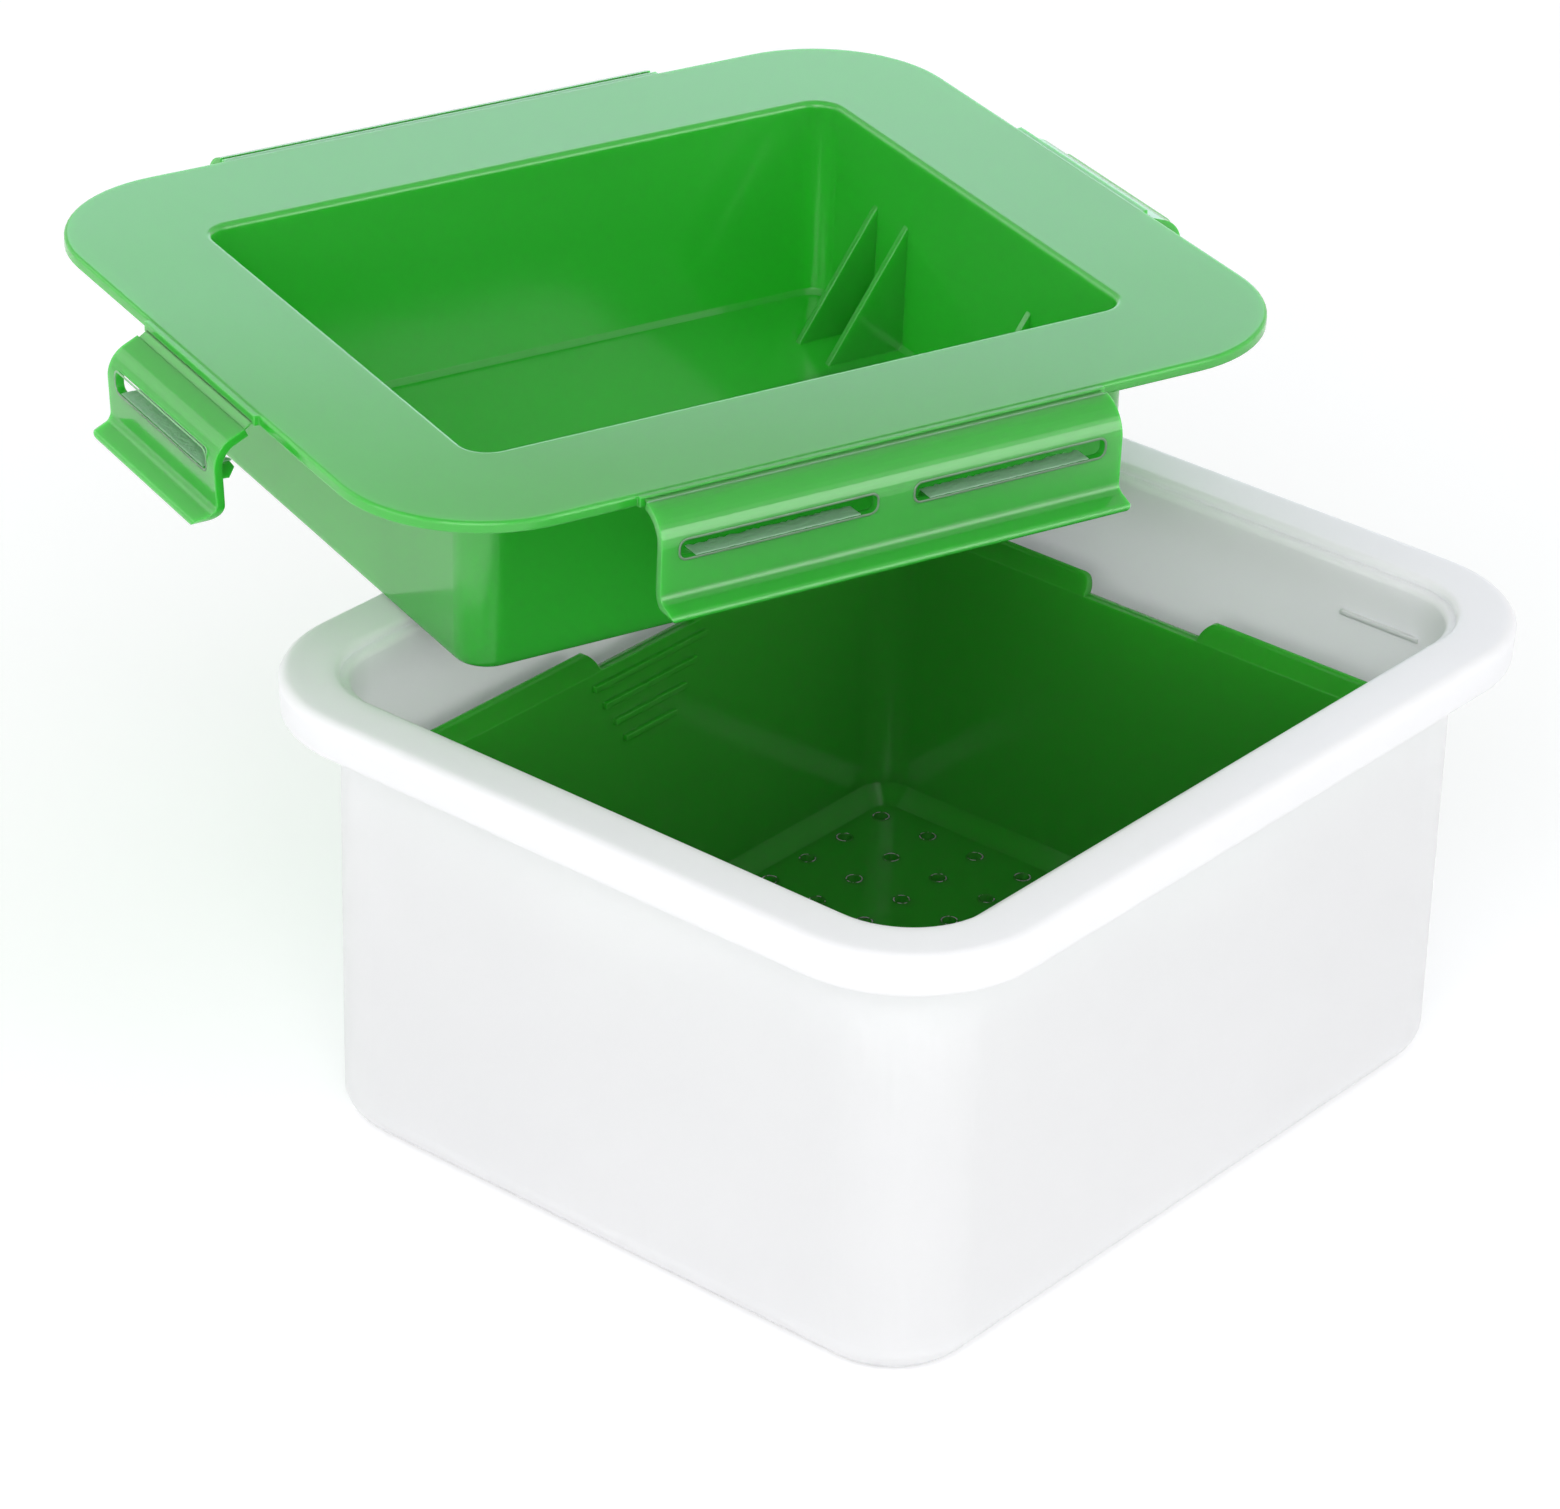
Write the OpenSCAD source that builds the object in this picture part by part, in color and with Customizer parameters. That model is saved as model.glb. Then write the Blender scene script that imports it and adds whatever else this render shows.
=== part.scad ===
// Tofu press: a white outer tub, a green strainer basket and a green
// press lid with four snap latches that hang from film hinges.
// The origin is the middle of the tub's underside, +Z up, +X along the
// tub's short direction and +Y along its long one. The lid lies askew
// across the tub's -X rim, on the underside of its own pocket.

/* [Tub] */
// Width of the tub over its rim, along X
tub_w = 160; // [150:1:180]
// Length of the tub over its rim, along Y
tub_l = 183; // [170:1:210]
// Height of the tub
tub_h = 89.2; // [80:0.1:110]
// Corner radius of the rim, seen from above
rim_r = 27; // [26:0.5:32]
// Width of the rim from its outer edge to its mouth
rim_w = 10.8; // [9:0.1:11]
// Thickness of the rim's top and of its skirt
rim_t = 2.0; // [1.6:0.1:2.4]
// Height of the rim's skirt
skirt_h = 7.6; // [6:0.1:10]
// Rounding along the rim's top edge
rim_round = 2.0; // [0.5:0.1:2.4]
// Depth of the ledge just inside the mouth
ledge_h = 1.6; // [1:0.1:2.4]
// Thickness of the tub's wall and floor
tub_t = 2.0; // [1.5:0.1:2.6]
// Rounding along the tub's lower edge
foot_r = 6; // [4:0.5:7]
// Length of the raised line inside the far wall
mark_l = 17; // [8:1:30]
// Depth of the raised line below the rim
mark_drop = 11.6; // [6:0.1:20]

/* [Basket] */
// Gap between the basket's lip and the tub's wall, along X
side_gap = 4.3; // [2:0.1:6]
// Gap between the basket's lip and the tub's wall, along Y
end_gap = 5.5; // [2:0.1:6]
// Depth of the basket's lip below the tub's rim
lip_drop = 19.6; // [10:0.1:30]
// Height of the flared lip above the wall
lip_h = 3.5; // [2:0.1:5]
// How far the lip flares out from the wall
lip_flare = 2.05; // [1:0.05:3]
// Thickness of the basket's wall
bas_t = 1.6; // [1.2:0.1:2]
// Thickness of the strainer floor
bas_floor_t = 1.8; // [1.4:0.1:2.4]
// Corner radius of the basket over its lip
bas_r = 11; // [10.5:0.5:14]
// Height of the feet under the strainer floor
bas_foot_h = 4.2; // [2:0.1:8]
// Diameter of the feet
bas_foot_d = 6; // [4:0.5:7]
// Size of the slope where the wall meets the floor
slope_s = 3.4; // [2:0.1:4]
// Diameter of a drain hole
hole_d = 2.6; // [1.5:0.1:4]
// Distance between drain holes along X
hole_px = 11.55; // [9:0.05:14]
// Distance between drain holes along Y
hole_py = 11.05; // [9:0.05:14]
// Width of the notch in each side of the lip, at its foot
notch_w = 26; // [15:0.5:40]
// Number of finger ribs below a notch
rib_n = 4; // [1:1:6]
// Length of the top finger rib
rib_l = 31; // [24:0.5:40]
// How much shorter each lower rib is
rib_less = 5.65; // [2:0.05:6]
// Distance between finger ribs
rib_pitch = 4.4; // [3:0.1:6]
// Height of a finger rib's face
rib_h = 1.2; // [0.8:0.1:2]
// How far a finger rib stands out of the wall
rib_out = 0.9; // [0.4:0.1:1.5]

/* [Lid] */
// How far the plate's edge lies inside the rim's, along X
plate_in_x = 1.25; // [0.5:0.05:3]
// How far the plate's edge lies inside the rim's, along Y
plate_in_y = -0.2; // [-0.4:0.05:2]
// Thickness of the plate
plate_t = 2.0; // [1.6:0.1:2.6]
// Gap from the basket's wall to the pocket's mouth, along X
pocket_gap_x = 6.75; // [5:0.05:12]
// Gap from the basket's wall to the pocket's mouth, along Y
pocket_gap_y = 3.45; // [1.8:0.05:8]
// Depth of the pocket from the plate's top to its underside
pocket_d = 41.6; // [30:0.1:50]
// Thickness of the pocket's wall and floor
pocket_t = 1.8; // [1.4:0.1:2.2]
// How much the pocket narrows towards its floor, each side
pocket_draft = 0.4; // [0.2:0.05:1.5]
// Radius of the mouth's corners
mouth_r = 5.1; // [5:0.1:8]
// Rounding along the mouth
mouth_round = 1.1; // [0.4:0.1:1.5]
// Rounding along the pocket's lower edge
pocket_edge = 1.4; // [0.5:0.1:2]
// Places of the stiffening fins along the pocket's end walls
fin_x = [-33, -22, 21.3, 32.2];
// Thickness of a fin
fin_t = 1.3; // [0.8:0.1:2]
// Depth of a fin's tip below the plate's top
fin_drop = 14.5; // [5:0.5:25]
// Length of a fin's foot on the pocket's floor
fin_foot = 16.4; // [6:0.1:20]

/* [Latches] */
// Width of a long-side latch
long_w = 92.3; // [70:0.1:110]
// Middle of the long-side latches along the lid
long_c = -2.6; // [-4:0.1:4]
// Width of a short-side latch
short_w = 42.8; // [36:0.1:70]
// Middle of the front latch across the lid
front_c = -0.2; // [-4:0.1:4]
// Middle of the back latch across the lid
back_c = -2.3; // [-4:0.1:4]
// Thickness of a latch
latch_t = 1.6; // [1.2:0.1:1.8]
// Solid strip of a long-side latch outside its slots
strip_w = 3.65; // [3:0.05:8]
// Solid strip between the slots of a long-side latch
middle_w = 7.7; // [5:0.1:20]
// Solid strip outside the slot of a short-side latch
strip_s = 3.4; // [3:0.05:8]
// Height of a long-side slot
slot_h = 3.4; // [2.5:0.1:4.4]
// Height of a short-side slot
slot_h_s = 4.0; // [2.5:0.1:4.2]
// Play between the rim's skirt and a long-side hook when closed
hook_play = 0.8; // [0.2:0.1:2]
// Play between the rim's skirt and a short-side hook when closed
hook_play_s = 1.7; // [0.2:0.1:2.5]
// How much higher a hook stands while its latch hangs open
hook_rise = 0.8; // [0:0.1:1.5]
// How far a long-side hook reaches in from its latch
hook_out = 2.6; // [2:0.1:5]
// How far a short-side hook reaches in from its latch
hook_out_s = 4.6; // [2:0.1:5]
// Height of a hook
hook_h = 3.2; // [2:0.1:3.6]
// How much shorter a long-side hook is than its slot, each end
hook_less = 3.0; // [1:0.1:4]
// How much shorter a short-side hook is than its slot, each end
hook_less_s = 1.6; // [1:0.1:4]
// Angle of a long-side latch below level at its hinge
start_a = 15; // [5:1:30]
// Angle of a short-side latch below level at its hinge
start_a_s = 25; // [5:1:40]
// Length of a long-side latch's first slope
start_l = 0.8; // [0.6:0.1:3]
// Length of a short-side latch's first slope
start_l_s = 2.9; // [0.6:0.1:4]
// Shoulder radius of a long-side latch
shoulder_r = 5.6; // [3:0.1:6]
// Shoulder radius of a short-side latch
shoulder_r_s = 5.0; // [4:0.1:6]
// Angle of a long-side latch's wall below level
wall_a = 92; // [88:1:98]
// Angle of a short-side latch's wall below level
wall_a_s = 93; // [88:1:98]
// Straight wall below the slots of a long-side latch
below_slot = 5.9; // [4:0.1:8]
// Straight wall below the slot of a short-side latch
below_slot_s = 5.3; // [4:0.1:8]
// Radius of the finger lip's bend
lip_bend = 2.6; // [2:0.1:4]
// Length of the finger lip
lip_len = 2.4; // [1.5:0.1:5]
// Angle of the finger lip below level
lip_drop_a = 18; // [10:1:50]
// Radius of a long-side latch's lower corners
latch_corner = 1.5; // [1:0.5:4]
// Radius of a short-side latch's lower corners
latch_corner_s = 4; // [1:0.5:4]
// Thickness of a film hinge
film_t = 0.42; // [0.3:0.02:0.6]
// Width of a long-side film hinge
film_w = 1.3; // [1:0.1:2]
// Width of a short-side film hinge
film_w_s = 1.5; // [1:0.1:2]
// Depth of a long-side film hinge below the plate's top
film_drop = 0.8; // [0.6:0.1:1.6]
// Depth of a short-side film hinge below the plate's top
film_drop_s = 1.7; // [0.6:0.1:1.7]
// How far a hinge tab stands out of the plate's edge
tab_out = 0.9; // [0.5:0.1:1.2]

/* [Lid's place] */
// Where the plate's middle lies, along X
lid_x = -74.7; // [-78:0.1:-70]
// Where the plate's middle lies, along Y
lid_y = 19.4; // [0:0.1:24]
// Turn of the lid about the vertical, degrees
lid_turn = -19.35; // [-25:0.05:-10]
// Angle by which the back latch stands turned outwards
back_swing = 5; // [0:1:20]

/* [Hidden] */

WHITE = [0.90, 0.91, 0.93];
DEEP_GREEN = [0.08, 0.40, 0.07];
GREEN = [0.16, 0.60, 0.18];
PALE_GREEN = [0.45, 0.72, 0.30];

// tub: insets from the rim's outer edge
wall_in = rim_w - 0.1;              // wall's outer face, at the rim
base_in = wall_in + 0.3;            // the same at the foot, with draft
inner_in = wall_in + tub_t;         // wall's inner face, at the rim

// basket
bas_a = tub_w / 2 - inner_in - side_gap;
bas_b = tub_l / 2 - inner_in - end_gap;
bas_z0 = tub_t + bas_foot_h;
bas_z1 = bas_z0 + bas_floor_t;
bas_z3 = tub_h - lip_drop;
bas_z2 = bas_z3 - lip_h;
wall_draft = 0.95;                  // over the basket's height
bas_in = lip_flare + bas_t;         // wall's inner face, at the top
foot_in = bas_in + wall_draft + slope_s - 0.2;   // where the flat floor starts
hole_nx = floor((2 * (bas_a - foot_in) - hole_d) / hole_px) + 1;
hole_ny = floor((2 * (bas_b - foot_in) - hole_d) / hole_py) + 1;

// lid
lid_a = tub_w / 2 - plate_in_x;
lid_b = tub_l / 2 - plate_in_y;
mouth_a = bas_a - bas_in - pocket_gap_x;
mouth_b = bas_b - bas_in - pocket_gap_y;
collar = 3.4;                       // plate that is swept with the pocket
pocket_r = mouth_r + collar;
lid_z = tub_h + pocket_d;
slot_l = (long_w - 2 * strip_w - middle_w) / 2;
slot_s = short_w - 2 * strip_s;
long_slots = [-(slot_l + middle_w) / 2, (slot_l + middle_w) / 2];

function dirv(h) = [cos(h), sin(h)];

// ---------- shared shapes ----------

// filled rounded rectangle, half sizes a and b
module rrect(a, b, r) {
  square([2 * a, 2 * (b - r)], center = true);
  square([2 * (a - r), 2 * b], center = true);
  for (sx = [-1, 1], sy = [-1, 1])
    translate([sx * (a - r), sy * (b - r)]) circle(r = r, $fn = 64);
}

// carries a section round a rounded rectangle; the section's x is the
// distance from the corner's centre, so an inset i is drawn at r - i
module ring(a, b, r) {
  for (k = [0 : 3]) {
    p = k % 2 == 0 ? a : b;
    q = k % 2 == 0 ? b : a;
    rotate([0, 0, 90 * k]) translate([p - r, q - r, 0]) {
      rotate_extrude(angle = 90, $fn = 96) children();
      rotate([90, 0, 0]) linear_extrude(height = 2 * (q - r)) children();
    }
  }
}

// what a quarter round takes off a square corner at p that points to
// (sx, sy)
module nip(p, r, sx, sy) {
  translate(p) scale([sx, sy])
    difference() {
      translate([-r, -r]) square([r + 1, r + 1]);
      translate([-r, -r]) circle(r = r, $fn = 48);
    }
}

// part of a flat ring between two angles less than 120 degrees apart
module arc(c, ro, ri, a0, a1) {
  translate(c) intersection() {
    difference() {
      circle(r = ro, $fn = 72);
      circle(r = ri, $fn = 72);
    }
    polygon([[0, 0], 3 * ro * dirv(a0), 6 * ro * dirv((a0 + a1) / 2), 3 * ro * dirv(a1)]);
  }
}

// ---------- tub ----------

module tub_section() {
  R = rim_r;
  H = tub_h;
  // rim: top, skirt with a little draft, ledge, and haunch to the wall
  difference() {
    polygon([[R, H], [R - rim_w, H], [R - rim_w, H - ledge_h], [R - inner_in, H - ledge_h],
             [R - inner_in, H - rim_t - 3], [R - wall_in, H - rim_t - 3],
             [R - wall_in + 2.1, H - rim_t], [R - rim_t, H - rim_t],
             [R - rim_t - 0.2, H - skirt_h], [R - 0.4, H - skirt_h]]);
    nip([R, H], rim_round, 1, 1);
    nip([R - rim_w, H], 1.2, -1, 1);
    nip([R - inner_in, H - ledge_h], 1.2, -1, 1);
    nip([R - 0.4, H - skirt_h], 0.7, 1, -1);
  }
  // wall
  polygon([[R - inner_in, H - rim_t - 2], [R - wall_in, H - rim_t - 2],
           [R - base_in, foot_r], [R - base_in - tub_t, foot_r]]);
  // rounded lower edge, running into the floor
  arc([R - base_in - foot_r, foot_r], foot_r, foot_r - tub_t, -90, 0);
  translate([R - base_in - foot_r - 1.5, 0]) square([1.5, tub_t]);
}

module tub() {
  color(WHITE) {
    ring(tub_w / 2, tub_l / 2, rim_r) tub_section();
    linear_extrude(height = tub_t)
      rrect(tub_w / 2 - base_in - foot_r, tub_l / 2 - base_in - foot_r, rim_r - base_in - foot_r);
    // short raised line inside the +Y wall, near its +X corner
    translate([tub_w / 2 - rim_r + 2.5 - mark_l, tub_l / 2 - inner_in - 0.75, tub_h - mark_drop])
      cube([mark_l, 1.75, 0.9]);
  }
}

// ---------- basket ----------

module wall_section() {
  R = bas_r;
  polygon([[R - lip_flare, bas_z2], [R - bas_in, bas_z2],
           [R - bas_in - wall_draft, bas_z1 + slope_s], [R - foot_in, bas_z1],
           [R - foot_in - 1.2, bas_z1], [R - foot_in - 1.2, bas_z0],
           [R - foot_in + 0.8, bas_z0], [R - lip_flare - wall_draft, bas_z0 + slope_s + 1.2]]);
  // bead where the lip starts
  translate([R - lip_flare - 0.25, bas_z2 - 0.6]) circle(r = 0.75, $fn = 32);
}

module lip_section() {
  R = bas_r;
  polygon([[R - bas_in, bas_z2 - 1.2], [R - lip_flare - 0.15, bas_z2 - 1.2],
           [R - 0.1, bas_z3 - 1.0], [R - 0.1, bas_z3 - 0.7],
           [R - 1.3, bas_z3 - 0.7], [R - bas_in, bas_z2]]);
  translate([R - 0.7, bas_z3 - 0.7]) circle(r = 0.65, $fn = 32);
}

// side view of a notch: flat foot, with the lip's ends rounded off
module notch_side() {
  w = notch_w / 2;
  difference() {
    translate([-w - lip_h, 0]) square([2 * (w + lip_h), lip_h + 1]);
    for (s = [-1, 1])
      translate([s * (w + lip_h), 0]) circle(r = lip_h, $fn = 48);
  }
}

module basket() {
  hx = (hole_nx - 1) / 2;
  hy = (hole_ny - 1) / 2;
  color(DEEP_GREEN) difference() {
    union() {
      ring(bas_a, bas_b, bas_r) wall_section();
      difference() {
        ring(bas_a, bas_b, bas_r) lip_section();
        for (k = [0 : 3]) rotate([0, 0, 90 * k])
          translate([(k % 2 == 0 ? bas_a : bas_b) - 5, 0, bas_z2 + 0.02])
            rotate([90, 0, 90]) linear_extrude(height = 8) notch_side();
      }
      translate([0, 0, bas_z0]) linear_extrude(height = bas_floor_t)
        rrect(bas_a - foot_in - 0.5, bas_b - foot_in - 0.5, bas_r - foot_in - 0.5);
      // finger ribs inside the two long walls
      for (s = [0, 180]) rotate([0, 0, s]) for (i = [0 : rib_n - 1]) {
        l = rib_l - i * rib_less;
        z = bas_z2 - 2.8 - i * rib_pitch;
        lean = wall_draft * (bas_z2 - z) / (bas_z2 - bas_z1 - slope_s);
        translate([-bas_a + bas_in - 0.3, -l / 2, z - rib_h / 2])
          cube([0.3 + lean + rib_out, l, rib_h]);
      }
      // feet that hold the strainer clear of the tub's floor
      for (x = [0.5 - hx, hx - 0.5], y = [0.5 - hy, 0, hy - 0.5])
        translate([x * hole_px, y * hole_py, tub_t])
          cylinder(d = bas_foot_d, h = bas_foot_h + bas_floor_t / 2, $fn = 40);
    }
    for (i = [0 : hole_nx - 1], j = [0 : hole_ny - 1])
      translate([(i - hx) * hole_px, (j - hy) * hole_py, bas_z0 - 1])
        cylinder(d = hole_d, h = bas_floor_t + 2, $fn = 24);
  }
}

// ---------- lid ----------

module on_lid() {
  translate([lid_x, lid_y, lid_z]) rotate([0, 0, lid_turn]) children();
}

// a collar of plate, the pocket's wall and its lower edge
module pocket_section() {
  R = pocket_r;
  f = R - collar - pocket_draft;
  difference() {
    polygon([[R, 0], [R - collar, 0], [f, -pocket_d + pocket_t + 1],
             [f - 1, -pocket_d + pocket_t], [0.3, -pocket_d + pocket_t],
             [0.3, -pocket_d], [f + pocket_t, -pocket_d],
             [R - collar + pocket_t, -plate_t], [R, -plate_t]]);
    nip([R - collar, 0], mouth_round, -1, 1);
    nip([f + pocket_t, -pocket_d], pocket_edge, 1, -1);
  }
}

// how far the pocket's inner face has come in at depth d
function come_in(d) = pocket_draft * d / (pocket_d - pocket_t - 1);

module fins(s) {
  zf = -pocket_d + pocket_t;
  for (x = fin_x)
    translate([x - fin_t / 2, 0, 0]) rotate([90, 0, 90]) linear_extrude(height = fin_t)
      polygon([[s * (mouth_b - come_in(fin_drop)), -fin_drop],
               [s * (mouth_b - come_in(fin_drop) + pocket_t / 2), -fin_drop],
               [s * (mouth_b - pocket_draft + pocket_t / 2), zf - pocket_t / 2],
               [s * (mouth_b - pocket_draft - fin_foot), zf - pocket_t / 2],
               [s * (mouth_b - pocket_draft - fin_foot), zf]]);
}

// tab on the plate's edge, edge at x = 0
module tab(w) {
  translate([0, 0, -plate_t]) linear_extrude(height = plate_t - 0.15)
    translate([-1.5, -w / 2 - 0.4]) square([1.5 + tab_out, w + 0.8]);
}

// the four edges of the plate, each turned so that +X points outwards
module at_right() { translate([lid_a, long_c, 0]) children(); }
module at_left() { translate([-lid_a, long_c, 0]) rotate([0, 0, 180]) children(); }
module at_front() { translate([front_c, -lid_b, 0]) rotate([0, 0, -90]) children(); }
module at_back() { translate([back_c, lid_b, 0]) rotate([0, 0, 90]) children(); }

module lid() {
  color(GREEN) on_lid() {
    difference() {
      translate([0, 0, -plate_t]) linear_extrude(height = plate_t) difference() {
        rrect(lid_a, lid_b, rim_r);
        rrect(mouth_a + collar - 1, mouth_b + collar - 1, pocket_r - 1);
      }
      ring(lid_a, lid_b, rim_r) nip([rim_r, 0], 0.6, 1, 1);
    }
    ring(mouth_a + collar, mouth_b + collar, pocket_r) pocket_section();
    translate([0, 0, -pocket_d]) linear_extrude(height = pocket_t)
      rrect(mouth_a + collar - pocket_r + 0.9, mouth_b + collar - pocket_r + 0.9, 0.9);
    fins(1);
    fins(-1);
    at_right() tab(long_w);
    at_left() tab(long_w);
    at_front() tab(short_w);
    at_back() tab(short_w);
  }
}

// ---------- latches ----------
// A latch is drawn as a side view, x outwards from the plate's edge and
// y up from the plate's top, then extruded across its width.
// S = [heading at the hinge, width of the film hinge, length of
//      the first slope, shoulder radius, heading of the wall, slot's
//      foot, slot's height, wall below the slot's foot, height of the
//      film's middle, height of the latch's middle line at the plate's
//      edge, reach of a hook, radius of the lower corners, how much
//      shorter a hook is than its slot]

S_LONG = [-start_a, film_w, start_l, shoulder_r, -wall_a,
          -(plate_t + skirt_h + hook_play - hook_rise), slot_h, below_slot,
          -film_drop, 0.15 - film_drop, hook_out, latch_corner, hook_less];
S_SHORT = [-start_a_s, film_w_s, start_l_s, shoulder_r_s, -wall_a_s,
           -(plate_t + skirt_h + hook_play_s - hook_rise), slot_h_s, below_slot_s,
           -film_drop_s, -0.35 - film_drop_s, hook_out_s, latch_corner_s, hook_less_s];

// the points along the middle of a latch's thickness
function p_start(S) = [0, S[9]] + (tab_out + S[1]) * dirv(S[0]);
function p_shoulder(S) = p_start(S) + S[2] * dirv(S[0]);
function c_shoulder(S) = p_shoulder(S) + S[3] * dirv(S[0] - 90);
function p_wall(S) = c_shoulder(S) + S[3] * dirv(S[4] + 90);
function p_flare(S) = p_wall(S) + (p_wall(S)[1] - S[5] + S[7]) * dirv(S[4]);
function c_flare(S) = p_flare(S) + lip_bend * dirv(S[4] + 90);
function p_lip(S) = c_flare(S) + lip_bend * dirv(-lip_drop_a - 90);
function p_end(S) = p_lip(S) + lip_len * dirv(-lip_drop_a);
// inner face of the wall at height y
function x_in(S, y) = p_wall(S)[0] + (p_wall(S)[1] - y) * tan(S[4] + 90) - latch_t / 2;

// points round c at radius r, between two angles
function bend(c, r, a0, a1) = [for (k = [0 : 10]) c + r * dirv(a0 + (a1 - a0) * k / 10)];

module latch_section(S) {
  t = latch_t / 2;
  n = dirv(S[0] + 90);
  polygon(concat(
    [p_start(S) + t * n],
    bend(c_shoulder(S), S[3] + t, S[0] + 90, S[4] + 90),
    bend(c_flare(S), lip_bend - t, S[4] - 90, -lip_drop_a - 90),
    bend(p_end(S), t, 90 - lip_drop_a, -90 - lip_drop_a),
    bend(c_flare(S), lip_bend + t, -lip_drop_a - 90, S[4] - 90),
    bend(c_shoulder(S), S[3] - t, S[4] + 90, S[0] + 90),
    [p_start(S) - t * n]));
}

module hook_section(S) {
  y = S[5];
  x = x_in(S, y);
  polygon([[x + 0.4, y], [x - 0.1, y], [x - S[10] + 0.8, y - 0.1],
           [x - S[10], y - 0.4 * hook_h], [x - S[10] + 1, y - hook_h],
           [x + 0.4, y - hook_h + 0.3]]);
}

// stands a side view up and runs it across a width w, about a middle
module across(w, middle = 0) {
  translate([0, middle + w / 2, 0]) rotate([90, 0, 0]) linear_extrude(height = w) children();
}

// slot with rounded ends, cut straight in from outside
module slot(l, S) {
  translate([0, 0, S[5] + S[6] / 2]) rotate([90, 0, 90]) linear_extrude(height = 14)
    rrect(l / 2, S[6] / 2, 1.2);
}

// rounds off a lower corner of a latch
module corner_cut(w, s, z, r) {
  translate([-2, s * w / 2, z]) rotate([90, 0, 90]) linear_extrude(height = 20)
    difference() {
      translate([s > 0 ? -r : -1, -2]) square([r + 1, r + 2]);
      translate([-s * r, r]) circle(r = r, $fn = 48);
    }
}

module latch(w, S, places, l) {
  difference() {
    across(w) latch_section(S);
    for (c = places) translate([0, c, 0]) slot(l, S);
    for (s = [-1, 1]) corner_cut(w, s, p_end(S)[1] - latch_t / 2, S[11]);
  }
  for (c = places) across(l - 2 * S[12], c) hook_section(S);
}

// where a film meets its latch's first face, as the middle of its
// thickness, and the axis that the latch swings about
function film_end(S) = p_start(S) + (0.2 + film_t / 2) * dirv(S[0] + 90);
function axis_at(S) = ([tab_out, S[8]] + film_end(S)) / 2;
// a point of the side view, swung outwards by an angle
function swung(p, S, a) =
  let (d = p - axis_at(S)) axis_at(S) + [d[0] * cos(a) - d[1] * sin(a), d[0] * sin(a) + d[1] * cos(a)];

// swings a latch outwards by an angle
module swing(S, a) {
  h = [axis_at(S)[0], 0, axis_at(S)[1]];
  translate(h) rotate([0, -a, 0]) translate(-h) children();
}

// thin web from the tab's face to the latch's first face
module film(w, S, a = 0) {
  up = [0, film_t / 2];
  n = film_t / 2 * dirv(S[0] + 90 + a);
  p = swung(film_end(S), S, a);
  across(w - 1)
    polygon([[tab_out, S[8]] + up, p + n, p - n, [tab_out, S[8]] - up]);
}

module latch_right() { color(GREEN) on_lid() at_right() latch(long_w, S_LONG, long_slots, slot_l); }
module latch_left() { color(GREEN) on_lid() at_left() latch(long_w, S_LONG, long_slots, slot_l); }
module latch_front() { color(GREEN) on_lid() at_front() latch(short_w, S_SHORT, [0], slot_s); }
module latch_back() {
  color(GREEN) on_lid() at_back() swing(S_SHORT, back_swing) latch(short_w, S_SHORT, [0], slot_s);
}
module film_hinge_right() { color(PALE_GREEN) on_lid() at_right() film(long_w, S_LONG); }
module film_hinge_left() { color(PALE_GREEN) on_lid() at_left() film(long_w, S_LONG); }
module film_hinge_front() { color(PALE_GREEN) on_lid() at_front() film(short_w, S_SHORT); }
module film_hinge_back() { color(PALE_GREEN) on_lid() at_back() film(short_w, S_SHORT, back_swing); }

tub();
basket();
lid();
latch_right();
latch_left();
latch_front();
latch_back();
film_hinge_right();
film_hinge_left();
film_hinge_front();
film_hinge_back();
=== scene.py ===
# %% [markdown]
# # A tofu press: a white tub, a green basket and a green lid
# The press is a white tub, a green strainer basket that stands in it and a
# green lid whose deep pocket presses the curd. Every piece is moulded
# polypropylene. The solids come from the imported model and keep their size
# and place here. This lesson dresses them: first the camera and the light,
# then the plastics, then the small moulded details.

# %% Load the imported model
import math
import random
import bpy
from mathutils import Matrix, Vector


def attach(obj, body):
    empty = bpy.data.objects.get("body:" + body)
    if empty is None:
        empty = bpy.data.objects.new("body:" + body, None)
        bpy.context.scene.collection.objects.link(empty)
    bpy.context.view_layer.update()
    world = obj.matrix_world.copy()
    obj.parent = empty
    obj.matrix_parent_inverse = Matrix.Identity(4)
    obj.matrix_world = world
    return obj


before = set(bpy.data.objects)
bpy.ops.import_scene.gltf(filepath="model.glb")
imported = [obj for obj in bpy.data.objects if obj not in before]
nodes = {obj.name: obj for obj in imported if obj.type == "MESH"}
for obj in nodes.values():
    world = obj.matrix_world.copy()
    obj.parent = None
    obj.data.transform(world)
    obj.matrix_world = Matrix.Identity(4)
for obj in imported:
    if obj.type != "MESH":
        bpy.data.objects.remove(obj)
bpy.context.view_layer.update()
MM = 0.001
bpy.ops.object.select_all(action="DESELECT")

# %% [markdown]
# ## The camera
# The view is a long lens, high over the tub's near corner. A camera looks
# along its own -Z, so its three axes are written as the columns of a
# matrix: right, up and backwards. A small roll turns right and up. The
# focal length is known in pixels, and the sensor's width makes it
# millimetres.

# %% Camera
AZIMUTH, ELEVATION, ROLL = (math.radians(a) for a in (39.3775, 28.8476, 1.6108))
TARGET = Vector((-40.114, 15.100, 44.585)) * MM
DISTANCE = 1167.705 * MM
SENSOR_WIDTH = 36
PHOTO_WIDTH, FOCAL_LENGTH = 1560, 6346.26  # pixels
NEAREST, FARTHEST = 0.05, 20

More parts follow.
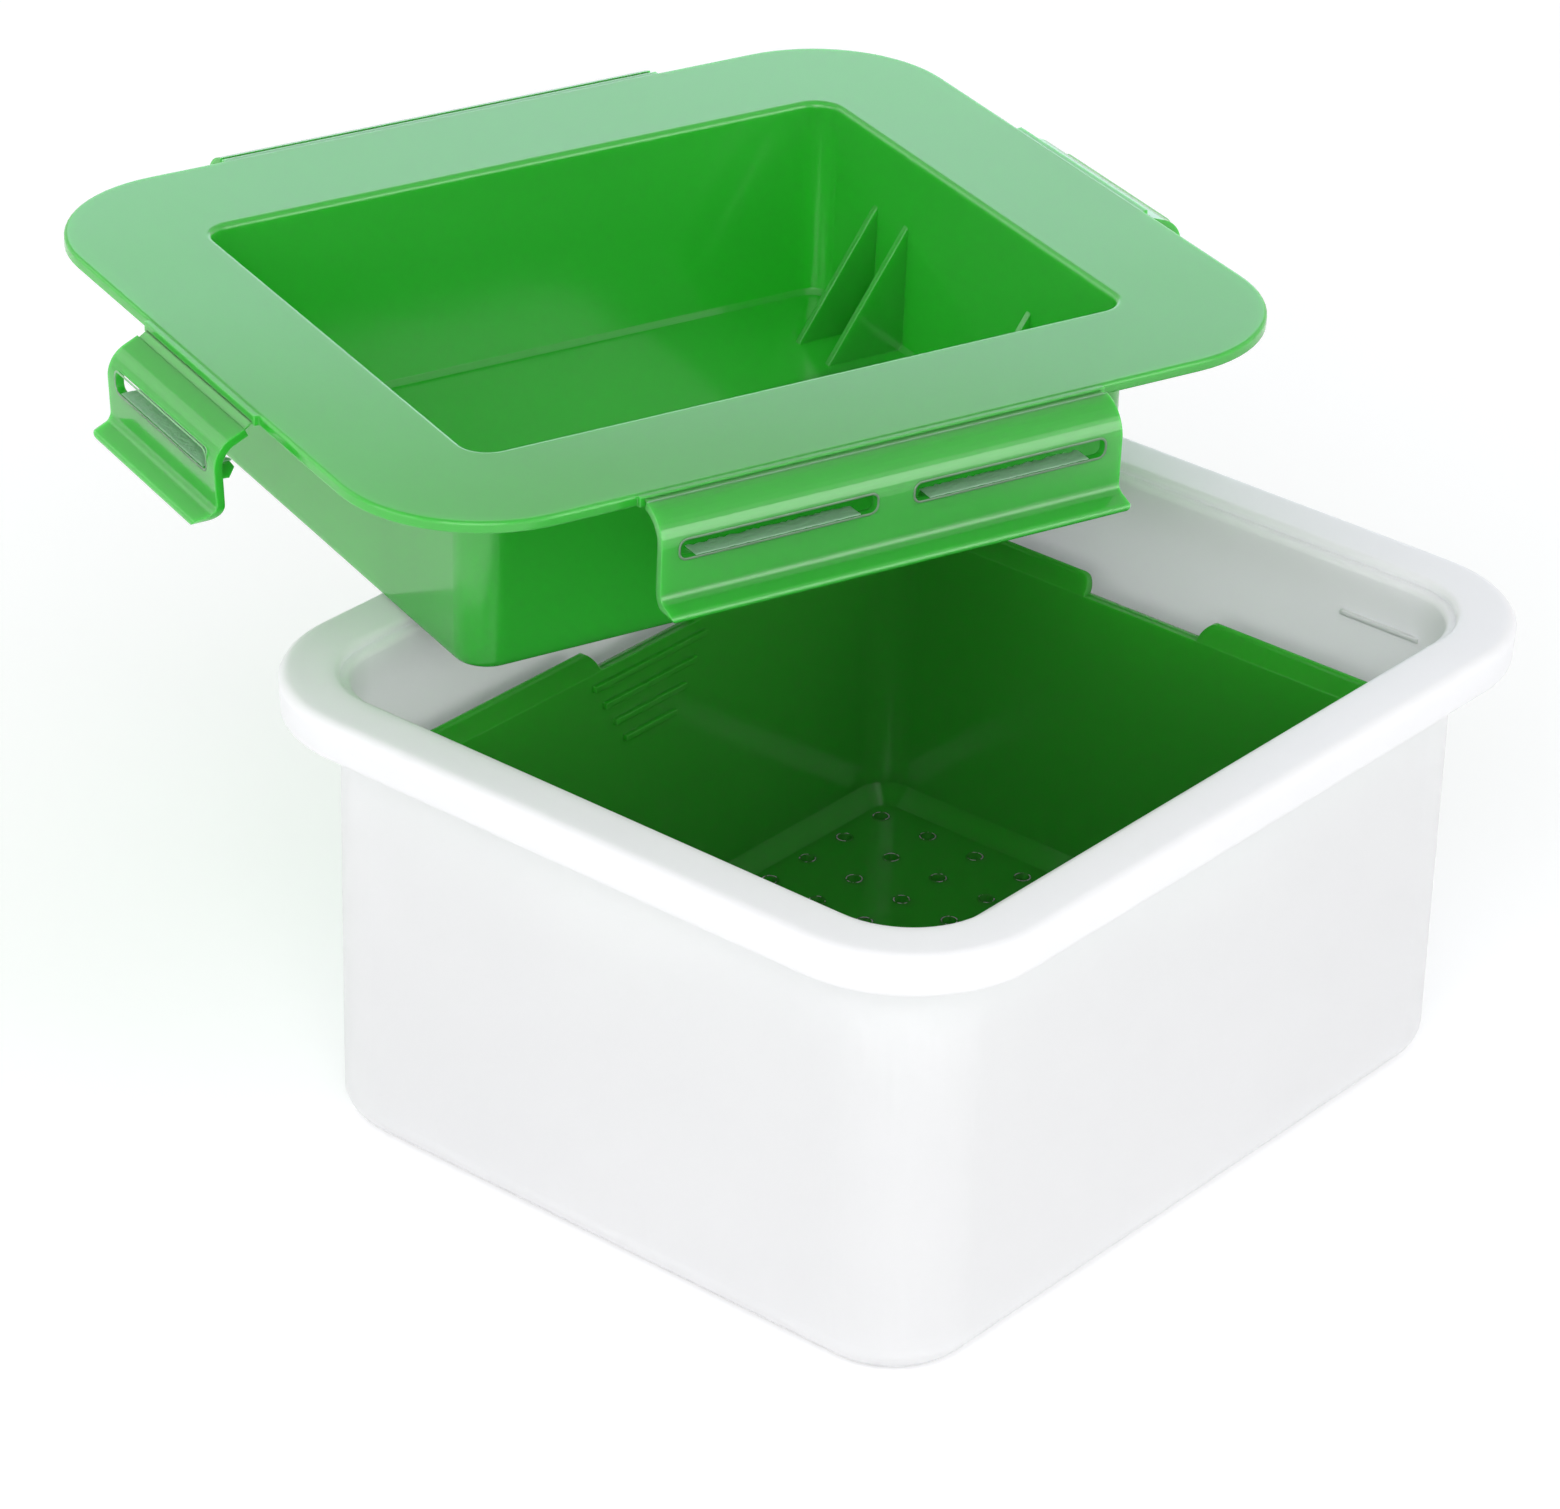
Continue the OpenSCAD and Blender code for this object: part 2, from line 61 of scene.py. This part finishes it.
backwards = Vector((math.sin(AZIMUTH) * math.cos(ELEVATION),
                    -math.cos(AZIMUTH) * math.cos(ELEVATION),
                    math.sin(ELEVATION)))
level = Vector((0, 0, 1)).cross(backwards).normalized()
upright = backwards.cross(level)
right = math.cos(ROLL) * level + math.sin(ROLL) * upright
up = -math.sin(ROLL) * level + math.cos(ROLL) * upright
camera = bpy.data.objects.new("camera", bpy.data.cameras.new("camera"))
camera.matrix_world = Matrix.Translation(TARGET + backwards * DISTANCE) @ Matrix(
    (right, up, backwards)).transposed().to_4x4()
camera.data.sensor_width = SENSOR_WIDTH
camera.data.lens = SENSOR_WIDTH * FOCAL_LENGTH / PHOTO_WIDTH
camera.data.clip_start, camera.data.clip_end = NEAREST, FARTHEST
bpy.context.scene.collection.objects.link(camera)
bpy.context.scene.camera = camera
print("lens:", round(camera.data.lens, 1), "mm")

# %% [markdown]
# ## Shader sums in plain Python
# A material is a net of small nodes. Written as sums, it reads like the
# idea it stands for. The first class below wraps one socket and turns each
# operator into a Math node, so `1 - mask` works as it looks. The second one
# holds a whole net and adds any other node to it.

# %% A socket that can be added and multiplied
class Value:
    def __init__(self, net, socket):
        self.net, self.socket = net, socket

    def math(self, operation, *values):
        return self.net.math(operation, *values)

    def __add__(self, other):
        return self.math("ADD", self, other)

    def __radd__(self, other):
        return self.math("ADD", other, self)

    def __sub__(self, other):
        return self.math("SUBTRACT", self, other)

    def __rsub__(self, other):
        return self.math("SUBTRACT", other, self)

    def __mul__(self, other):
        return self.math("MULTIPLY", self, other)

    def __rmul__(self, other):
        return self.math("MULTIPLY", other, self)

    def clamp(self):
        return self.math("MINIMUM", self.math("MAXIMUM", self, 0.0), 1.0)


# %% A net of nodes
class Net:
    """The nodes of one material or of the world."""

    def __init__(self, owner):
        owner.use_nodes = True
        self.tree = owner.node_tree
        self.tree.nodes.clear()

    def node(self, kind, settings=None, inputs=None, output=0):
        n = self.tree.nodes.new(kind)
        for name, value in (settings or {}).items():
            setattr(n, name, value)
        for name, value in (inputs or {}).items():
            if isinstance(value, Value):
                self.tree.links.new(value.socket, n.inputs[name])
            else:
                n.inputs[name].default_value = value
        return Value(self, n.outputs[output]) if n.outputs else None

    def math(self, operation, *values):
        return self.node("ShaderNodeMath", {"operation": operation}, dict(enumerate(values)))

    def mix(self, factor, a, b):
        """A colour between colours a and b."""
        a, b = ((*c, 1) if isinstance(c, tuple) else c for c in (a, b))
        # of a Mix node's sockets, 6, 7 and output 2 are the ones for colours
        return self.node("ShaderNodeMix", {"data_type": "RGBA"}, {0: factor, 6: a, 7: b}, 2)

    def seen(self):
        """One for the camera and for reflections, nought for the light itself."""
        return self.math("MAXIMUM", self.node("ShaderNodeLightPath", output="Is Camera Ray"),
                         self.node("ShaderNodeLightPath", output="Is Glossy Ray"))


# %% [markdown]
# ## The room's light
# The press stands in a white studio. The walls are brighter than the ceiling,
# so upright faces get about as much light as level ones, and the inside of
# the basket stays deep. The camera sees the room as plain white.

# %% World
WALLS, CEILING = 1.15, 0.48

bpy.context.scene.view_settings.view_transform = "Standard"
world = bpy.data.worlds.new("room")
bpy.context.scene.world = world
net = Net(world)
seen = net.node("ShaderNodeLightPath", output="Is Camera Ray")
way = net.node("ShaderNodeTexCoord", output="Generated")
height = net.node("ShaderNodeSeparateXYZ", {}, {"Vector": way}, "Z").clamp()
room = CEILING + (WALLS - CEILING) * (1 - height)
background = net.node("ShaderNodeBackground", {}, {
    "Color": (1, 1, 1, 1), "Strength": room + (1 - room) * seen})
net.node("ShaderNodeOutputWorld", {}, {"Surface": background})
print("walls", WALLS, "ceiling", CEILING)

# %% [markdown]
# ## Lamps
# A flat face sends light on at the angle at which it came, so a wide, cool
# lamp low behind the press lays the pale sheen on the lid's plate. A lamp
# to the right draws the bright lines along the long latch's shoulder, and
# a weak one behind on the left does so on the far latches. The last two
# are wide and stand in front: the low one lights the tub's left wall, and
# the strongest one lights everything that faces the camera.

# %% Lamps
LIT_POINT = Vector((-0.02, 0.01, 0.07))


def lamp(name, heading, height, distance, size, watts, colour=(1, 1, 1)):
    """A square soft lamp that looks at the press, heading 0 from the camera's side."""
    data = bpy.data.lights.new(name, "AREA")
    data.shape, data.size, data.energy, data.color = "SQUARE", size, watts, colour
    o = bpy.data.objects.new(name, data)
    way, rise = AZIMUTH + math.radians(heading), math.radians(height)
    away = Vector((math.sin(way) * math.cos(rise), -math.cos(way) * math.cos(rise), math.sin(rise)))
    o.location = LIT_POINT + away * distance
    o.rotation_euler = away.to_track_quat("Z", "Y").to_euler()
    bpy.context.scene.collection.objects.link(o)
    print(name, watts, "W")


# heading and height in degrees, distance and size in metres, power in watts
lamp("back_softbox", 180, 12, 1.8, 1.0, 3.6, (0.65, 0.77, 1.0))
lamp("right_softbox", 62, 17, 1.7, 0.8, 4.8)
lamp("left_softbox", -117, 30, 1.7, 0.7, 1.0)
lamp("low_fill", -60, 20, 1.7, 1.0, 3.5)
lamp("front_fill", -5, 26, 1.8, 1.4, 12.0)

# %% [markdown]
# ## The floor
# The floor is one flat, pale sheet, far wider than the view. It keeps the
# press's soft shadow, and a little glow that only the camera and
# reflections see makes it nearly white.

# %% Floor
FLOOR_SIZE = 8
FLOOR_COLOUR = (0.9, 0.9, 0.9, 1)
FLOOR_GLOW = 0.22

bpy.ops.mesh.primitive_plane_add(size=FLOOR_SIZE, location=(0, 0, 0))
floor = bpy.context.active_object
floor.name = "floor"
pale = bpy.data.materials.new("pale_floor")
net = Net(pale)
matt = net.node("ShaderNodeBsdfDiffuse", {}, {"Color": FLOOR_COLOUR})
glow = net.node("ShaderNodeEmission", {}, {"Color": (1, 1, 1, 1), "Strength": FLOOR_GLOW * net.seen()})
net.node("ShaderNodeOutputMaterial", {}, {
    "Surface": net.node("ShaderNodeAddShader", {}, {0: matt, 1: glow})})
floor.data.materials.append(pale)
bpy.ops.object.select_all(action="DESELECT")
print("floor", FLOOR_SIZE, "m wide")

# %% [markdown]
# ## Moulded polypropylene
# The plastic is soft-looking because light goes a little way into it, so
# subsurface scattering stands beside the gloss. Two noises keep it from
# looking like a computer's: a wide one, as the melt flowed, changes tint and
# gloss a little, and a fine grain unsettles the reflections. A Bevel node
# rounds the sharpest edges in the shading alone.

# %% One recipe for every plastic
FLOW_SCALE, GRAIN_SCALE, PATCH_SCALE = 22.0, 900.0, 700.0
DARKEST = 0.93
GLOSS_CHANGE = 0.05
SOFT_EDGE = 0.0004
GRAIN_DEPTH = 0.0004
PLASTIC_IOR = 1.49
CREST_EDGE, PATCH_EDGE, PATCH_FROM = 20000.0, 12.0, 0.47


def plastic(name, colour, roughness, depth, weight=1.0, gloss=0.9, bump=0.02, crest_highlight=None):
    """A plastic. Depth is how far red, green and blue light go in; crest_highlight is a
    pale colour painted as a highlight, and the height above which it shows in ragged patches."""
    m = bpy.data.materials.new(name)
    net = Net(m)
    place = net.node("ShaderNodeTexCoord", output="Object")
    flow = net.node("ShaderNodeTexNoise", {}, {"Vector": place, "Scale": FLOW_SCALE, "Detail": 3.0})
    grain = net.node("ShaderNodeTexNoise", {}, {"Vector": place, "Scale": GRAIN_SCALE, "Detail": 2.0})
    tint = net.mix(flow, tuple(DARKEST * c for c in colour), colour)
    # a painted highlight: a pale colour in ragged patches on what lies above a height
    if crest_highlight:
        pale, above = crest_highlight
        high = net.node("ShaderNodeSeparateXYZ", {}, {"Vector": place}, "Z")
        patches = net.node("ShaderNodeTexNoise", {}, {"Vector": place, "Scale": PATCH_SCALE})
        on_top = ((high - above) * CREST_EDGE).clamp()
        tint = net.mix(on_top * ((patches - PATCH_FROM) * PATCH_EDGE).clamp(), tint, pale)
    soft_edges = net.node("ShaderNodeBevel", {"samples": 4}, {"Radius": SOFT_EDGE})
    skin = net.node("ShaderNodeBump", {}, {
        "Strength": bump, "Distance": GRAIN_DEPTH, "Height": grain, "Normal": soft_edges})
    surface = net.node("ShaderNodeBsdfPrincipled", {}, {
        "Base Color": tint,
        "Roughness": roughness - GLOSS_CHANGE + 2 * GLOSS_CHANGE * flow,
        "Normal": skin,
        "IOR": PLASTIC_IOR,
        "Specular IOR Level": gloss,
        "Subsurface Weight": weight,
        "Subsurface Radius": depth,
        "Subsurface Scale": 1.0,
    })
    net.node("ShaderNodeOutputMaterial", {}, {"Surface": surface})
    print(name, "roughness", roughness)
    return m


# %% [markdown]
# ## The press's own plastics
# The tub's white is satin and lets light far in. The greens are glossier,
# and green light goes furthest into them. The thin films are paler, because
# stretched or thin plastic whitens. The rims round the slots are paler too,
# a painted highlight on the bright line that their bead catches. The strips
# on the hooks' tops are a pale painted highlight with a rough, bumpy finish.
# The rims of the drain holes are the basket's green, and their tops carry a
# painted highlight in pale, ragged patches.

# %% Plastics
WHITE = plastic("white_plastic", (0.845, 0.85, 0.875), 0.38, (0.006, 0.006, 0.006), gloss=0.5)
LID = plastic("lid_green", (0.036, 0.39, 0.040), 0.13, (0.002, 0.008, 0.002))
DEEP_GREEN, DEEP_LIGHT = (0.045, 0.37, 0.034), (0.002, 0.009, 0.002)
DEEP = plastic("basket_green", DEEP_GREEN, 0.13, DEEP_LIGHT, gloss=0.5)
FILM = plastic("film_green", (0.06, 0.46, 0.06), 0.20, (0.002, 0.008, 0.002))
# the hooks' pale strips: a painted highlight on a rough, bumpy finish
PAINTED_SHEEN = plastic("painted_sheen_green", (0.34, 0.66, 0.40), 0.35, (0.001, 0.002, 0.001),
                  weight=0.3, gloss=0.8, bump=0.6)
# the slot rims' paler green is a painted highlight, added to the light their bead catches
EDGE_HIGHLIGHT = plastic("edge_highlight_green", (0.16, 0.56, 0.17), 0.16, (0.002, 0.006, 0.002), weight=0.8)
# the drain-hole rims' pale top is a painted highlight, standing for the specks of light they catch
BEADS = plastic("bead_green", DEEP_GREEN, 0.12, DEEP_LIGHT, weight=0.8, gloss=0.7,
                crest_highlight=((0.75, 0.95, 0.75), 0.00808))

for name, node in nodes.items():
    coat = (WHITE if name == "tub" else DEEP if name == "basket" else
            FILM if name.startswith("film") else LID)
    node.data.materials.clear()
    node.data.materials.append(coat)
    print(name, "wears", coat.name)

# %% [markdown]
# ## Places on the lid
# The lid lies turned across the tub. Small pieces are modelled flat at the
# origin, where they are easy to shape, and a matrix then carries them to
# their latch. Each edge of the lid has its own matrix, with X outwards.

# %% Where the latches hang
def turn(degrees, axis):
    return Matrix.Rotation(math.radians(degrees), 4, axis)


def shift(*mm):
    return Matrix.Translation(Vector(mm) * MM)


# millimetres and degrees; the lid's top is the height nought of each edge
LID_PLACE, LID_TURN = (-74.7, 19.4, 130.8), -19.35
HALF_WIDTH, HALF_LENGTH = 78.75, 91.7
LONG_OFF, FRONT_OFF, BACK_OFF = -2.6, -0.2, -2.3
FILM_X, FILM_Z, BACK_SWING = 1.6242, -2.1963, -5

on_lid = shift(*LID_PLACE) @ turn(LID_TURN, "Z")
swing = shift(FILM_X, 0, FILM_Z) @ turn(BACK_SWING, "Y") @ shift(-FILM_X, 0, -FILM_Z)
SIDES = {
    "right": on_lid @ shift(HALF_WIDTH, LONG_OFF, 0),
    "left": on_lid @ shift(-HALF_WIDTH, LONG_OFF, 0) @ turn(180, "Z"),
    "front": on_lid @ shift(FRONT_OFF, -HALF_LENGTH, 0) @ turn(-90, "Z"),
    "back": on_lid @ shift(BACK_OFF, HALF_LENGTH, 0) @ turn(90, "Z") @ swing,
}
print("edges:", sorted(SIDES))

# %% [markdown]
# ## The slots
# A long latch has two slots, one at each side of its middle, and a short
# latch has one. The latch's wall leans a little inwards, and the rims that
# are made next lean with it.

# %% Slots of a long and of a short latch
LONG = {"places": (-23.175, 23.175), "length": 38.65, "height": 3.4,
        "reach": 7.81, "middle": -7.9, "lean": 2}
SHORT = {"places": (0,), "length": 36.0, "height": 4.0,
         "reach": 8.51, "middle": -8.5, "lean": 3}
SLOTS = {"right": LONG, "left": LONG, "front": SHORT, "back": SHORT}
print("slots:", sum(len(slots["places"]) for slots in SLOTS.values()))


# %% [markdown]
# ## Helpers for modelling by hand
# An operator acts on everything that is selected, so each piece starts with
# nothing selected and ends so too. A finished piece gets its name, its
# smooth shading, its plastic and the body that it rides on.

# %% Modifying and finishing
def modify(o, kind, **settings):
    m = o.modifiers.new(kind, kind)
    for name, value in settings.items():
        setattr(m, name, value)
    bpy.ops.object.modifier_apply(modifier=m.name)


def finish(o, name, material, body, smooth=40):
    o.name = o.data.name = name
    bpy.ops.object.shade_smooth_by_angle(angle=math.radians(smooth))
    o.data.materials.clear()
    o.data.materials.append(material)
    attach(o, body)
    bpy.ops.object.select_all(action="DESELECT")
    print(name, len(o.data.polygons), "faces")


# %% Copying a pattern to its place
def carried(source, matrix):
    """A copy with a mesh of its own, set in its place for good."""
    bpy.ops.object.select_all(action="DESELECT")
    o = source.copy()
    o.data = source.data.copy()
    bpy.context.scene.collection.objects.link(o)
    o.select_set(True)
    bpy.context.view_layer.objects.active = o
    o.matrix_world = matrix
    bpy.ops.object.transform_apply(location=True, rotation=True, scale=True)
    return o


# %% [markdown]
# ## Rims round the latches' slots
# The mould leaves a fine raised edge round each slot, and it shows as a
# bright line; the rim's paler green is a painted highlight that brightens it.
# A flat rounded rectangle is inset, its middle is deleted, and
# Solidify and Bevel turn the flat ring into a soft bead.

# %% A slot's rim
RIM_WIDE, RIM_HIGH, RIM_SUNK = 0.45 * MM, 0.07 * MM, 0.07 * MM
RIM_CORNER, RIM_SOFT = 1.7 * MM, 0.06 * MM
SHARP = math.radians(40)


def slot_rim(length, height):
    bpy.ops.object.select_all(action="DESELECT")
    bpy.ops.mesh.primitive_plane_add(size=1)
    o = bpy.context.active_object
    bpy.ops.object.mode_set(mode="EDIT")
    bpy.ops.mesh.select_all(action="SELECT")
    bpy.ops.transform.resize(value=(length * MM + 2 * RIM_WIDE, height * MM + 2 * RIM_WIDE, 1))
    bpy.ops.mesh.bevel(offset=RIM_CORNER, segments=6, affect="VERTICES")
    bpy.ops.mesh.select_all(action="SELECT")
    bpy.ops.mesh.inset(thickness=RIM_WIDE)
    bpy.ops.mesh.delete(type="FACE")
    bpy.ops.object.mode_set(mode="OBJECT")
    modify(o, "SOLIDIFY", thickness=RIM_HIGH + RIM_SUNK, offset=0)
    modify(o, "BEVEL", width=RIM_SOFT, segments=2, limit_method="ANGLE", angle_limit=SHARP)
    return o


# %% One rim to each slot
def upright_on_wall(lean):
    """Turns the rim's X along the slot, its Y up the wall and its Z outwards."""
    sine, cosine = math.sin(math.radians(lean)), math.cos(math.radians(lean))
    return Matrix(((0, sine, cosine, 0),
                   (1, 0, 0, 0),
                   (0, cosine, -sine, 0),
                   (0, 0, 0, 1)))


# each rim wears the paler green, a painted highlight
for side, slots in SLOTS.items():
    pattern = slot_rim(slots["length"], slots["height"])
    for number, place in enumerate(slots["places"], 1):
        middle = shift(slots["reach"], place, slots["middle"])
        rim = carried(pattern, SIDES[side] @ middle @ upright_on_wall(slots["lean"]))
        finish(rim, f"slot_rim_{side}_{number}", EDGE_HIGHLIGHT, f"latch_{side}")
    bpy.data.objects.remove(pattern)

# %% [markdown]
# ## Painted highlight on the hooks' tops
# Behind each slot stands the hook that grips the tub's skirt. Its top face
# shows through the slot as a pale, ragged sheen, and that sheen is painted
# here. A thin pale strip is cut into short lengths, its back edge is made
# uneven, and it lies on the hook like a skin.

# %% A strip of painted highlight
RAGGED_IN, RAGGED_OUT, RAGGED_UP = 0.35, 0.25, 0.10
SKIN_THICK, SKIN_LIFT = 0.16, 0.06
ragged = random.Random(7)


def painted_sheen_strip(length, depth):
    bpy.ops.object.select_all(action="DESELECT")
    bpy.ops.mesh.primitive_grid_add(x_subdivisions=4, y_subdivisions=48, size=1)
    o = bpy.context.active_object
    bpy.ops.object.mode_set(mode="EDIT")
    bpy.ops.mesh.select_all(action="SELECT")
    bpy.ops.transform.resize(value=(depth * MM, length * MM, 1))
    bpy.ops.object.mode_set(mode="OBJECT")
    for v in o.data.vertices:
        back = 0.5 - v.co.x / (depth * MM)
        v.co.x += back * ragged.uniform(-RAGGED_IN, RAGGED_OUT) * MM
        v.co.z += ragged.uniform(0.0, RAGGED_UP) * MM
    modify(o, "SOLIDIFY", thickness=SKIN_THICK * MM, offset=0)
    return o


# %% One strip to each hook
# the outer edge's reach and the hook's top, for a long and a short latch
LONG_HOOK = {"length": 32.4, "depth": 3.6, "reach": 7.6, "top": -9.6}
SHORT_HOOK = {"length": 32.6, "depth": 5.2, "reach": 8.2, "top": -10.5}
HOOKS = {"right": LONG_HOOK, "left": LONG_HOOK, "front": SHORT_HOOK, "back": SHORT_HOOK}

# each strip is a pale sheet of painted highlight lying on a hook's top
for side, hook in HOOKS.items():
    middle = hook["reach"] - hook["depth"] / 2
    for number, place in enumerate(SLOTS[side]["places"], 1):
        pattern = painted_sheen_strip(hook["length"], hook["depth"])
        strip = carried(pattern, SIDES[side] @ shift(middle, place, hook["top"] + SKIN_LIFT))
        finish(strip, f"painted_sheen_strip_{side}_{number}", PAINTED_SHEEN, f"latch_{side}", 25)
        bpy.data.objects.remove(pattern)

# %% [markdown]
# ## Raised rims round the drain holes
# Each drain hole in the basket's floor has a small raised rim, which catches
# a speck of light, and its top is painted pale in ragged patches as a painted
# highlight. A circle is extruded up, across and down again into a
# closed bead, and two Array modifiers lay it out over the whole floor.

# %% Drain hole rims
COLUMNS, ROWS, PITCH_X, PITCH_Y = 10, 12, 11.55 * MM, 11.05 * MM
FLOOR_TOP = 8.0 * MM
SIDES_ROUND = 16
MERGE = 0.002 * MM
# radius and height of each edge of the bead, from the outside in
BEAD = [(1.80, -0.04), (1.68, 0.10), (1.54, 0.17), (1.41, 0.12), (1.32, -0.02), (1.32, -0.20)]
outer, foot = BEAD[0]
corner = Vector((-(COLUMNS - 1) / 2 * PITCH_X, -(ROWS - 1) / 2 * PITCH_Y, FLOOR_TOP + foot * MM))

bpy.ops.object.select_all(action="DESELECT")
bpy.ops.mesh.primitive_circle_add(vertices=SIDES_ROUND, radius=outer * MM, location=corner)
rims = bpy.context.active_object
bpy.ops.object.mode_set(mode="EDIT")
for (r0, z0), (r1, z1) in zip(BEAD, BEAD[1:] + BEAD[:1]):
    bpy.ops.mesh.extrude_edges_move(TRANSFORM_OT_translate={"value": (0, 0, (z1 - z0) * MM)})
    bpy.ops.transform.resize(value=(r1 / r0, r1 / r0, 1), center_override=corner)
bpy.ops.mesh.select_all(action="SELECT")
bpy.ops.mesh.remove_doubles(threshold=MERGE)
bpy.ops.mesh.normals_make_consistent(inside=False)
bpy.ops.object.mode_set(mode="OBJECT")
bpy.ops.object.transform_apply(location=True, rotation=True, scale=True)
for count, step in ((COLUMNS, (PITCH_X, 0, 0)), (ROWS, (0, PITCH_Y, 0))):
    modify(rims, "ARRAY", count=count, use_relative_offset=False,
           use_constant_offset=True, constant_offset_displace=step)
finish(rims, "drain_hole_rims", BEADS, "basket", 80)
